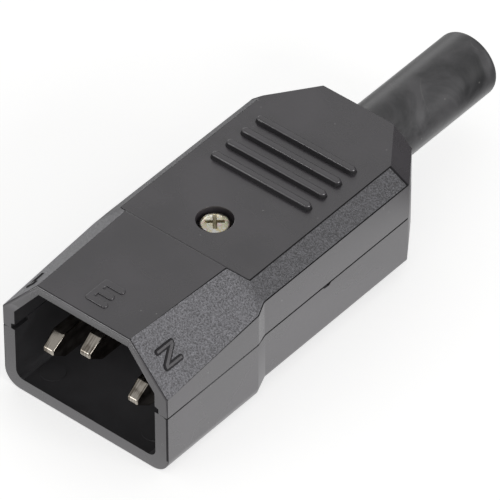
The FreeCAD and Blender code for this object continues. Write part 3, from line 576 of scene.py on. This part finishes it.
# a fine groove along edges: a narrow bevel whose middle line is pushed in; the edges of faces of the kept
# kind go back to where they were, so the groove lies beside them
def sinkLines(bm, lines, width, depth, kept=None):
    alongside = 0.7  # cosine between an edge of the bevel and the line that it belongs to
    tracks = [(middle(e), (e.verts[1].co - e.verts[0].co) / 2) for e in lines]
    strip = set(roundEdges(bm, lines, width, 2)["faces"])
    bm.normal_update()

    def offTrack(track, spot):
        share = (spot - track[0]).dot(track[1]) / track[1].length_squared
        return (track[0] + track[1] * max(-1, min(1, share)) - spot).length

    sunk, outer, back = set(), set(), set()
    # painted shade: every face of the groove takes the darker matt polyamide
    for f in strip:
        f.material_index = 2
        for e in f.edges:
            near = min(tracks, key=lambda track: offTrack(track, middle(e)))
            run = (e.verts[1].co - e.verts[0].co).normalized()
            if abs(run.dot(near[1].normalized())) > alongside:
                others = [g for g in e.link_faces if g not in strip]
                (outer if others else sunk).update(e.verts)
                if others and others[0].material_index == kept:
                    back.update(e.verts)
    for v in sunk - outer:
        v.co -= v.normal * depth
    for v in back:
        near = min(tracks, key=lambda track: offTrack(track, v.co))
        v.co = near[0] + near[1] * ((v.co - near[0]).dot(near[1]) / near[1].length_squared)
    bm.normal_update()


# shadow lines along the borders of the grained faces
def grooveBorders(bm):
    look = {"bend": 12, "behindRim": 0.25}
    s = shellLook
    lines = []
    for e in bm.edges:
        if len(e.link_faces) == 2 and bend(e) > look["bend"]:
            kinds = {f.material_index for f in e.link_faces}
            if kinds == {0, 1} and s["mouth"] + look["behindRim"] < middle(e).y < s["corner"]:
                lines.append(e)
    sinkLines(bm, lines, s["groove"], s["grooveDepth"], kept=0)
    print("shadow lines:", len(lines), "edges")


# grip bars: each is the hull of two round ends that narrow with height, on a low flared foot
def makeGripBars():
    look = {"count": 4, "first": -4.15, "pitch": 2.97, "length": 16.4, "width": 1.3, "height": 0.75,
            "vertices": 40, "wallShare": 0.7,
            # each ring's inset in mm and its share of the height
            "levels": [(0.0, -0.1), (0.13, 0.7), (0.17, 0.84), (0.25, 0.94), (0.35, 0.99), (0.42, 1.0)],
            "foot": [(-0.07, -0.05), (-0.03, 0.05), (0.0, 0.12), (0.03, 0.3)]}
    tree = bpy.data.node_groups.new("grip bars", "GeometryNodeTree")
    tree.interface.new_socket("Geometry", in_out="OUTPUT", socket_type="NodeSocketGeometry")
    inputs = {}
    for name, kind in (("Count", "Int"), ("Pitch", "Float"), ("Length", "Float"), ("Width", "Float"),
                       ("Height", "Float"), ("Material", "Material")):
        socket = tree.interface.new_socket(name, in_out="INPUT", socket_type="NodeSocket" + kind)
        inputs[name] = socket.identifier
    sizes = addNode(tree, "NodeGroupInput").outputs
    span = addNode(tree, "ShaderNodeMath", {"operation": "SUBTRACT"},
                   {0: sizes["Length"], 1: sizes["Width"]})
    begin = addNode(tree, "ShaderNodeMath", {"operation": "MULTIPLY", 1: -0.5}, {0: span.outputs["Value"]})
    half = addNode(tree, "ShaderNodeMath", {"operation": "MULTIPLY", 1: 0.5}, {0: sizes["Width"]})
    start = addNode(tree, "ShaderNodeCombineXYZ", {}, {"X": begin.outputs["Value"]})
    reach = addNode(tree, "ShaderNodeCombineXYZ", {}, {"X": span.outputs["Value"]})
    ends = addNode(tree, "GeometryNodeMeshLine", {"mode": "OFFSET", "Count": 2},
                   {"Start Location": start.outputs["Vector"], "Offset": reach.outputs["Vector"]})
    bar = addNode(tree, "GeometryNodeJoinGeometry")
    for stack in (look["levels"], look["foot"]):
        rings = addNode(tree, "GeometryNodeJoinGeometry")
        for inset, share in stack:
            radius = addNode(tree, "ShaderNodeMath", {"operation": "SUBTRACT", 1: inset},
                             {0: half.outputs["Value"]})
            rise = addNode(tree, "ShaderNodeMath", {"operation": "MULTIPLY", 1: share},
                           {0: sizes["Height"]})
            ring = addNode(tree, "GeometryNodeMeshCircle", {"Vertices": look["vertices"]},
                           {"Radius": radius.outputs["Value"]})
            lift = addNode(tree, "ShaderNodeCombineXYZ", {}, {"Z": rise.outputs["Value"]})
            ring = addNode(tree, "GeometryNodeTransform", {},
                           {"Geometry": ring.outputs["Mesh"], "Translation": lift.outputs["Vector"]})
            tree.links.new(ring.outputs["Geometry"], rings.inputs["Geometry"])
        pair = addNode(tree, "GeometryNodeInstanceOnPoints", {},
                       {"Points": ends.outputs["Mesh"], "Instance": rings.outputs["Geometry"]})
        pair = addNode(tree, "GeometryNodeRealizeInstances", {}, {"Geometry": pair.outputs["Instances"]})
        hull = addNode(tree, "GeometryNodeConvexHull", {}, {"Geometry": pair.outputs["Geometry"]})
        tree.links.new(hull.outputs["Convex Hull"], bar.inputs["Geometry"])
    step = addNode(tree, "ShaderNodeCombineXYZ", {}, {"Y": sizes["Pitch"]})
    row = addNode(tree, "GeometryNodeMeshLine",
                  {"mode": "OFFSET", "Start Location": (0, look["first"], shellLook["bodyTop"])},
                  {"Count": sizes["Count"], "Offset": step.outputs["Vector"]})
    bars = addNode(tree, "GeometryNodeInstanceOnPoints", {},
                   {"Points": row.outputs["Mesh"], "Instance": bar.outputs["Geometry"]})
    bars = addNode(tree, "GeometryNodeRealizeInstances", {}, {"Geometry": bars.outputs["Instances"]})
    bars = addNode(tree, "GeometryNodeSetMaterial", {},
                   {"Geometry": bars.outputs["Geometry"], "Material": sizes["Material"]})
    addNode(tree, "NodeGroupOutput", {}, {"Geometry": bars.outputs["Geometry"]})
    piece = meshObject("gripBars", bmesh.new())
    grow = piece.modifiers.new("grip bars", "NODES")
    grow.node_group = tree
    for name in ("Count", "Pitch", "Length", "Width", "Height"):
        grow[inputs[name]] = look[name.lower()]
    grow[inputs["Material"]] = satin
    bake(piece)
    mesh = piece.data
    # in the shells' list of skins, the tops and backs are satin and the other walls take the darker matt
    # polyamide, a painted shade
    wallTop = shellLook["bodyTop"] + look["wallShare"] * look["height"]
    skins = [0 if p.center.z > wallTop or p.normal.y > 0.5 else 2 for p in mesh.polygons]
    mesh.polygons.foreach_set("material_index", skins)
    bpy.data.objects.remove(piece)
    print("grip bars:", len(mesh.polygons), "faces")
    return mesh


# raised terminal letters, each a ridge with round flanks and round ends, in millimetres
letterLook = {"stroke": 0.92, "height": 0.2, "sunk": 0.2, "corner": 0.38, "cornerSegments": 5,
              "topEdge": 0.14, "cheekEdge": 0.3, "edgeSegments": 4, "edgeBend": 30,
              "earth": (3.4, 4.2, 3.05, 1.62),  # width, height, length of the middle bar and its height
              "neutral": (2.3, 3.4, 1.65, 1.75),  # inner width, height, where the slant meets the posts
              "live": (2.3, 3.3),  # width, height
              "earthAt": (-1.75, 2.26),  # X, back from the mouth
              "neutralAt": (0.332, 0.7, 2.1, 5.5),  # share down the cheek from and to, back from and to
              "liveAt": (0.67, 0.3, 2.25, 5.55)}


# the outline starts at the corner, and along and up are points on its two axes
def raisedLetter(outline, corner, along, up, topSkin, flankSkin, edge):
    look = letterLook
    bm = blockOver(outline, -look["sunk"], look["height"])
    posts = [e for e in bm.edges if abs(e.verts[0].co.z - e.verts[1].co.z) > 0.1 and e.is_convex]
    roundEdges(bm, posts, look["corner"], look["cornerSegments"])
    rim = [e for e in bm.edges if bothAt(e, 2, look["height"]) and bend(e) > look["edgeBend"]]
    roundEdges(bm, rim, edge, look["edgeSegments"])
    bm.normal_update()
    for f in bm.faces:
        f.material_index = topSkin if f.normal.z > 0.995 else flankSkin
    across = (along - corner).normalized()
    face = across.cross((up - corner).normalized()).normalized()
    turn = Matrix((across, face.cross(across), face)).transposed().to_4x4()
    bm.transform(Matrix.Translation(corner) @ turn)
    mesh = bpy.data.meshes.new("letter")
    bm.to_mesh(mesh)
    bm.free()
    return mesh


# a point on a cheek: how far down its slope, and how far back from the mouth
def cheekPoint(side, share, back):
    look = shellLook
    t = back / (look["head"] - look["mouth"])
    halfTop = look["topFront"] + (look["topBack"] - look["topFront"]) * t
    shoulder = look["shoulderFront"] + (look["shoulderBack"] - look["shoulderFront"]) * t
    upper = Vector((side * halfTop, 0, look["top"]))
    lower = Vector((side * look["side"], 0, shoulder))
    return upper.lerp(lower, share) + Vector((0, look["mouth"] + back, 0))


def makeLetters():
    look = letterLook
    s = look["stroke"]
    wide, tall, bar, rise = look["earth"]
    earth = [(0, 0), (wide, 0), (wide, s), (s, s), (s, rise), (bar, rise), (bar, rise + s), (s, rise + s),
             (s, tall - s), (wide, tall - s), (wide, tall), (0, tall)]
    wide, tall, low, high = look["neutral"]
    neutral = [(0, 0), (s, 0), (s, high), (wide, 0), (wide + s, 0), (wide + s, tall), (wide, tall),
               (wide, low), (s, tall), (0, tall)]
    wide, tall = look["live"]
    live = [(0, 0), (wide, 0), (wide, s), (s, s), (s, tall), (0, tall)]
    x, back = look["earthAt"]
    spot = Vector((x, shellLook["mouth"] + back, shellLook["top"]))
    letters = [raisedLetter(earth, spot, spot + Vector((1, 0, 0)), spot + Vector((0, 1, 0)), 0, 0,
                            look["topEdge"])]
    # the cheek letters' flanks take the darker matt polyamide, a painted shade
    for side, outline, topSkin, at in ((1, neutral, 0, look["neutralAt"]), (-1, live, 1, look["liveAt"])):
        share, shareTo, back, backTo = at
        letters.append(raisedLetter(outline, cheekPoint(side, share, back), cheekPoint(side, shareTo, back),
                                    cheekPoint(side, share, backTo), topSkin, 2, look["cheekEdge"]))
    return letters


bm = copyNode("cover_shell")
clearGripBars(bm)
rebuildStep(bm)
roundShell(bm)
grooveBorders(bm)
cover = meshObject("coverShell", bm)
setMaterials(cover.data, shellSkins)
for raised in [makeGripBars()] + makeLetters():
    setMaterials(raised, shellSkins)
    uniteMesh(cover, raised)
dullMouth(cover)
finishPiece(cover, shellSkins, "cover_shell")


# the joint shows as a narrow undercut line along the base's upper edge
def cutJoint(bm):
    look = {"width": 0.26, "depth": 0.4, "bend": 60, "nearSide": 0.3}
    s = shellLook
    lines = []
    for e in bm.edges:
        m = middle(e)
        atSide = abs(m.x) > s["bodySide"] - look["nearSide"]
        atRear = m.y > s["corner"] and abs(m.x) > s["gland"]
        if (atSide or atRear) and bothAt(e, 2, s["parting"]) and bend(e) > look["bend"]:
            wall = [f.normal for f in e.link_faces if abs(f.normal.z) < 0.5]
            if wall and wall[0].dot(Vector((m.x, max(m.y - s["corner"], 0) * 2, 0))) > 0:
                lines.append(e)
    sinkLines(bm, lines, look["width"], look["depth"])
    print("joint line:", len(lines), "edges")


# a notch for a blade in the joint, and two low ejector marks on the floor of the mouth
def cutMarks(piece):
    look = {"notch": [(-7.8, 9.84), (-7.3, 9.44), (-6.4, 9.32), (-5.6, 9.84), (-6.0, 10.1), (-7.5, 10.1)],
            "notchDepth": 0.7, "mark": 1.75, "markX": 8.5, "markBack": 3.5, "markHeight": 0.1,
            "markDraught": 0.04, "markRoot": 0.5, "markSegments": 48, "mouthFloor": 2.0}
    s = shellLook
    # the outline is drawn in Y and Z, and the block grows along X
    notch = blockOver(look["notch"], s["bodySide"] - look["notchDepth"], s["bodySide"] + 1)
    notch.transform(Matrix(((0, 0, 1, 0), (1, 0, 0, 0), (0, 1, 0, 0), (0, 0, 0, 1))))
    cutBy(piece, meshObject("notch", notch))
    deepest = s["bodySide"] - look["notchDepth"] - 0.05
    first, last = min(y for y, z in look["notch"]), max(y for y, z in look["notch"])
    lowest = min(z for y, z in look["notch"])
    # painted shade: the notch's inner faces take the darker matt polyamide
    for p in piece.data.polygons:
        x, y, z = p.center
        inNotch = deepest < x < s["bodySide"] and first < y < last and lowest < z < s["parting"] - 0.01
        if inNotch and p.normal.x < 0.9:
            p.material_index = 2
    profile = [(0, -look["markRoot"]), (look["mark"], -look["markRoot"]),
               (look["mark"] - look["markDraught"], look["markHeight"]), (0, look["markHeight"])]
    for side in (-1, 1):
        mark = turned(profile, look["markSegments"])
        spot = (side * look["markX"], s["mouth"] + look["markBack"], look["mouthFloor"])
        mark.transform(Matrix.Translation(spot))
        cutBy(piece, meshObject("mark", mark), "UNION")


bm = copyNode("base_shell")
roundShell(bm)
cutJoint(bm)
base = meshObject("baseShell", bm)
cutMarks(base)
dullMouth(base)
finishPiece(base, shellSkins, "base_shell")


# flat pins with the rolled edges of drawn strip
def makePin(name, title):
    look = {"edge": 0.3, "segments": 5, "bend": 8, "blade": -21.2}
    bm = copyNode(name)
    edges = [e for e in bm.edges if bend(e) > look["bend"] and min(v.co.y for v in e.verts) < look["blade"]
             and middle(e).y < look["blade"]]
    roundEdges(bm, edges, look["edge"], look["segments"])
    bm.normal_update()
    finishPiece(meshObject(title, bm), [nickel], name, sharp=40)


for name, title in (("line_pin", "linePin"), ("neutral_pin", "neutralPin"), ("earth_pin", "earthPin")):
    makePin(name, title)


# cover screw: a domed pan head with a cross recess, its shank plain
def makeCoverScrew():
    look = {"seat": 15.65, "head": 2.08, "wall": 1.35, "dome": 1.85, "domePower": 3, "steps": 14,
            "segments": 72, "shank": 1.45, "length": 11.0, "turn": 42.0, "recess": 0.8, "wing": 1.55,
            "wingWidth": 0.5, "wingFoot": 0.6, "wingFootWidth": 0.34,
            "above": 0.3, "aboveReach": 0.15, "aboveWidth": 0.05,  # the cutter goes on past the dome
            "lip": 0.05, "lipBend": 35, "lipDepth": 0.35,
            "dullReach": 0.75, "dullFoot": 0.5, "dullUnder": 0.06}

    def domeHeight(share):
        return look["wall"] + (look["dome"] - look["wall"]) * (1 - share ** look["domePower"]) ** 0.5

    shares = [k / look["steps"] for k in range(look["steps"] + 1)]
    profile = [(look["head"] * t, domeHeight(t)) for t in shares]
    profile += [(look["head"], 0), (look["shank"], 0), (look["shank"], -look["length"]),
                (0, -look["length"])]
    screw = meshObject("coverScrew", turned(profile, look["segments"]))
    cross = bmesh.new()
    wingReach = look["wing"] + look["aboveReach"]
    ends = ((look["dome"] + look["above"], wingReach, look["wingWidth"] + look["aboveWidth"]),
            (look["dome"] - look["recess"], look["wingFoot"], look["wingFootWidth"]))
    for turn in (0, 90):
        corners = []
        for z, reach, width in ends:
            corners += [Vector((i * reach, j * width / 2, z)) for i in (-1, 1) for j in (-1, 1)]
        spin = Matrix.Rotation(math.radians(turn + look["turn"]), 3, "Z")
        bmesh.ops.convex_hull(cross, input=[cross.verts.new(spin @ c) for c in corners])
    cutBy(screw, meshObject("cross", cross), crossing=True)
    bm = bmesh.new()
    bm.from_mesh(screw.data)
    lips = [e for e in bm.edges if bend(e) > look["lipBend"]
            and middle(e).z > look["dome"] - look["lipDepth"] and Vector(middle(e)[:2]).length < wingReach]
    roundEdges(bm, lips, look["lip"], 2)
    # the recess faces take the darker plate: dirt and wear, and painted shade
    for f in bm.faces:  # faces well under the dome lie in the recess
        c = f.calc_center_median()
        share = min(Vector(c[:2]).length / look["head"], 1)
        under = look["dullFoot"] < c.z < domeHeight(share) - look["dullUnder"]
        f.material_index = 1 if share < look["dullReach"] and under else 0
    bm.transform(Matrix.Translation((0, shellLook["screwY"], look["seat"])))
    bm.to_mesh(screw.data)
    bm.free()
    finishPiece(screw, [zinc, recessZincDirtAndShade], "cover_screw", sharp=38)


makeCoverScrew()


# strain relief: a plain sleeve with a flange inside the housing and a rounded outer rim
def makeBoot():
    look = {"bore": 3.6, "outer": 4.8, "flange": 6.3, "front": 11.45, "back": 13.45, "end": 38.55,
            "rim": 0.9, "lip": 0.25, "rings": 6, "segments": 144}
    end = look["end"]
    straight = end - look["rim"] - look["back"]
    profile = [(look["bore"], look["front"]), (look["flange"], look["front"]),
               (look["flange"], look["back"]), (look["outer"], look["back"])]
    profile += [(look["outer"], look["back"] + straight * k / look["rings"]) for k in range(1, look["rings"])]
    profile += arcPoints((look["outer"] - look["rim"], end - look["rim"]), look["rim"], 0, 90, 8)
    profile += arcPoints((look["bore"] + look["lip"], end - look["lip"]), look["lip"], 90, 180, 4)
    bm = turned(profile, look["segments"], closed=True)
    lieDown = Matrix.Rotation(math.radians(-90), 4, "X")
    bm.transform(Matrix.Translation((0, 0, shellLook["parting"])) @ lieDown)
    finishPiece(meshObject("strainReliefBoot", bm), [rubber], "strain_relief_boot", sharp=40)


makeBoot()

# terminals' screws and the cord clamp stay inside the closed housing
for name, material in (("terminal_screws", zinc), ("clamp_screws", zinc), ("cord_clamp", satin)):
    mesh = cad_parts[name].data
    mesh.materials.clear()
    mesh.materials.append(material)


# a paper floor, in metres: to the camera it is lit paper lifted towards white, to reflections a painted white
# pool of light round the plug, with painted shade further out, in front of the mouth and to the right of the
# sleeve
def makeFloor():
    look = {"paper": "#efefee", "white": (1, 1, 1, 1), "lift": 0.56, "radius": 4.0, "segments": 96,
            "height": -0.05 * mm,  # a hair under the plug, so no faces coincide
            "poolPlace": (0.0156, 0.016, 0), "poolScale": (1.3, 0.8, 1), "poolEdge": (0.05, 0.064),
            "poolOutside": 0.35, "frontY": (-0.044, -0.036), "front": 0.72,
            "shadeX": (0.004, 0.010), "shadeY": (0.019, 0.025), "shade": 0.5}
    material, tree, out, place = startMaterial("paper sweep matt white")
    path = addNode(tree, "ShaderNodeLightPath")
    lift = addNode(tree, "ShaderNodeMath", {"operation": "MULTIPLY", 1: look["lift"]},
                   {0: path.outputs["Is Camera Ray"]})
    glow = addNode(tree, "ShaderNodeEmission", {"Color": look["white"]}, {"Strength": lift.outputs["Value"]})
    paper = addNode(tree, "ShaderNodeBsdfDiffuse", {"Color": linearColour(look["paper"])})
    both = addNode(tree, "ShaderNodeAddShader", {}, {0: glow.outputs["Emission"], 1: paper.outputs["BSDF"]})
    mirrored = addNode(tree, "ShaderNodeMath", {"operation": "MAXIMUM"},
                       {0: path.outputs["Is Glossy Ray"], 1: path.outputs["Is Transmission Ray"]})
    oval = addNode(tree, "ShaderNodeMapping", {"Location": look["poolPlace"], "Scale": look["poolScale"]},
                   {"Vector": place})
    away = addNode(tree, "ShaderNodeVectorMath", {"operation": "LENGTH"}, {0: oval.outputs["Vector"]})
    pool = addNode(tree, "ShaderNodeMapRange",
                   {"interpolation_type": "SMOOTHSTEP", "From Min": look["poolEdge"][0],
                    "From Max": look["poolEdge"][1], "To Min": 1.0, "To Max": look["poolOutside"]},
                   {"Value": away.outputs["Value"]})
    spot = addNode(tree, "ShaderNodeSeparateXYZ", {}, {"Vector": place})
    front = addNode(tree, "ShaderNodeMapRange",
                    {"From Min": look["frontY"][0], "From Max": look["frontY"][1], "To Min": look["front"],
                     "To Max": 1.0}, {"Value": spot.outputs["Y"]})
    level = addNode(tree, "ShaderNodeMath", {"operation": "MULTIPLY"},
                    {0: pool.outputs["Result"], 1: front.outputs["Result"]})
    # painted shade to the right of the sleeve, seen only in reflections
    right = addNode(tree, "ShaderNodeMapRange",
                    {"From Min": look["shadeX"][0], "From Max": look["shadeX"][1], "To Max": look["shade"]},
                    {"Value": spot.outputs["X"]})
    rear = addNode(tree, "ShaderNodeMapRange",
                   {"From Min": look["shadeY"][0], "From Max": look["shadeY"][1]},
                   {"Value": spot.outputs["Y"]})
    shade = addNode(tree, "ShaderNodeMath", {"operation": "MULTIPLY"},
                    {0: right.outputs["Result"], 1: rear.outputs["Result"]})
    lit = addNode(tree, "ShaderNodeMath", {"operation": "SUBTRACT", 0: 1.0}, {1: shade.outputs["Value"]})
    level = addNode(tree, "ShaderNodeMath", {"operation": "MULTIPLY"},
                    {0: level.outputs["Value"], 1: lit.outputs["Value"]})
    white = addNode(tree, "ShaderNodeEmission", {"Color": look["white"]},
                    {"Strength": level.outputs["Value"]})
    sweep = addNode(tree, "ShaderNodeMixShader", {},
                    {"Fac": mirrored.outputs["Value"], 1: both.outputs["Shader"],
                     2: white.outputs["Emission"]})
    tree.links.new(sweep.outputs["Shader"], out.inputs["Surface"])
    bm = bmesh.new()
    bmesh.ops.create_circle(bm, cap_ends=True, segments=look["segments"], radius=look["radius"],
                            matrix=Matrix.Translation((0, 0, look["height"])))
    floor = meshObject("floor", bm)
    floor.data.materials.append(material)


def addSoftbox(name, place, aim, width, height, radiance):
    lamp = bpy.data.lights.new(name, "AREA")
    lamp.shape = "RECTANGLE"
    lamp.size = width
    lamp.size_y = height
    lamp.energy = radiance * math.pi * width * height
    item = bpy.data.objects.new(name, lamp)
    item.location = place
    item.rotation_euler = (Vector(aim) - Vector(place)).to_track_quat("-Z", "Y").to_euler()
    scene.collection.objects.link(item)


# a white tent, a little darker straight behind the plug, with low softboxes round it, in metres
def lightStudio():
    look = {"tent": 0.47, "behind": 0.12, "behindAt": (0.13, 0.98, 0.1), "behindEdge": (0.72, 0.95),
            "aim": (0, -0.005, 0.01),
            "boxes": {"sideSoftbox": ((0.96, 0.02, 0.28), 0.6, 0.5, 4.0),  # place, width, height, radiance
                      "leftSoftbox": ((-0.78, 0.58, 0.32), 0.7, 0.4, 0.8),
                      "frontSoftbox": ((-0.48, -0.87, 0.14), 0.5, 0.26, 2.6)}}
    world = bpy.data.worlds.new("studio")
    scene.world = world
    world.use_nodes = True
    tree = world.node_tree
    shell = tree.nodes["Background"]
    shell.inputs["Color"].default_value = (1, 1, 1, 1)
    way = addNode(tree, "ShaderNodeTexCoord").outputs["Generated"]
    near = addNode(tree, "ShaderNodeVectorMath", {"operation": "DOT_PRODUCT", 1: look["behindAt"]}, {0: way})
    glow = addNode(tree, "ShaderNodeMapRange",
                   {"interpolation_type": "SMOOTHSTEP", "From Min": look["behindEdge"][0],
                    "From Max": look["behindEdge"][1], "To Min": look["tent"], "To Max": look["behind"]},
                   {"Value": near.outputs["Value"]})
    tree.links.new(glow.outputs["Result"], shell.inputs["Strength"])
    for name, (place, width, height, radiance) in look["boxes"].items():
        addSoftbox(name, place, look["aim"], width, height, radiance)


# camera fitted to the photograph's corner points
def setCamera():
    look = {"azimuth": 40.327, "elevation": 42.372, "roll": -0.3025, "distance": 0.8595, "lens": 486.0,
            "sensor": 36, "nearest": 0.01, "target": (0.0, -0.00855, 0.010), "shift": (0.02176, -0.00812)}
    a, e, r = (math.radians(look[k]) for k in ("azimuth", "elevation", "roll"))
    back = Vector((math.sin(a) * math.cos(e), -math.cos(a) * math.cos(e), math.sin(e)))
    right = Vector((math.cos(a), math.sin(a), 0))
    up = back.cross(right)
    across = right * math.cos(r) + up * math.sin(r)
    upward = up * math.cos(r) - right * math.sin(r)
    turn = Matrix((across, upward, back)).transposed().to_4x4()
    data = bpy.data.cameras.new("camera")
    data.sensor_width = look["sensor"]
    data.lens = look["lens"]
    data.shift_x, data.shift_y = look["shift"]
    data.clip_start = look["nearest"]
    camera = bpy.data.objects.new("camera", data)
    camera.matrix_world = Matrix.Translation(Vector(look["target"]) + back * look["distance"]) @ turn
    scene.collection.objects.link(camera)
    scene.camera = camera


makeFloor()
lightStudio()
setCamera()
print("floor, light and camera set")
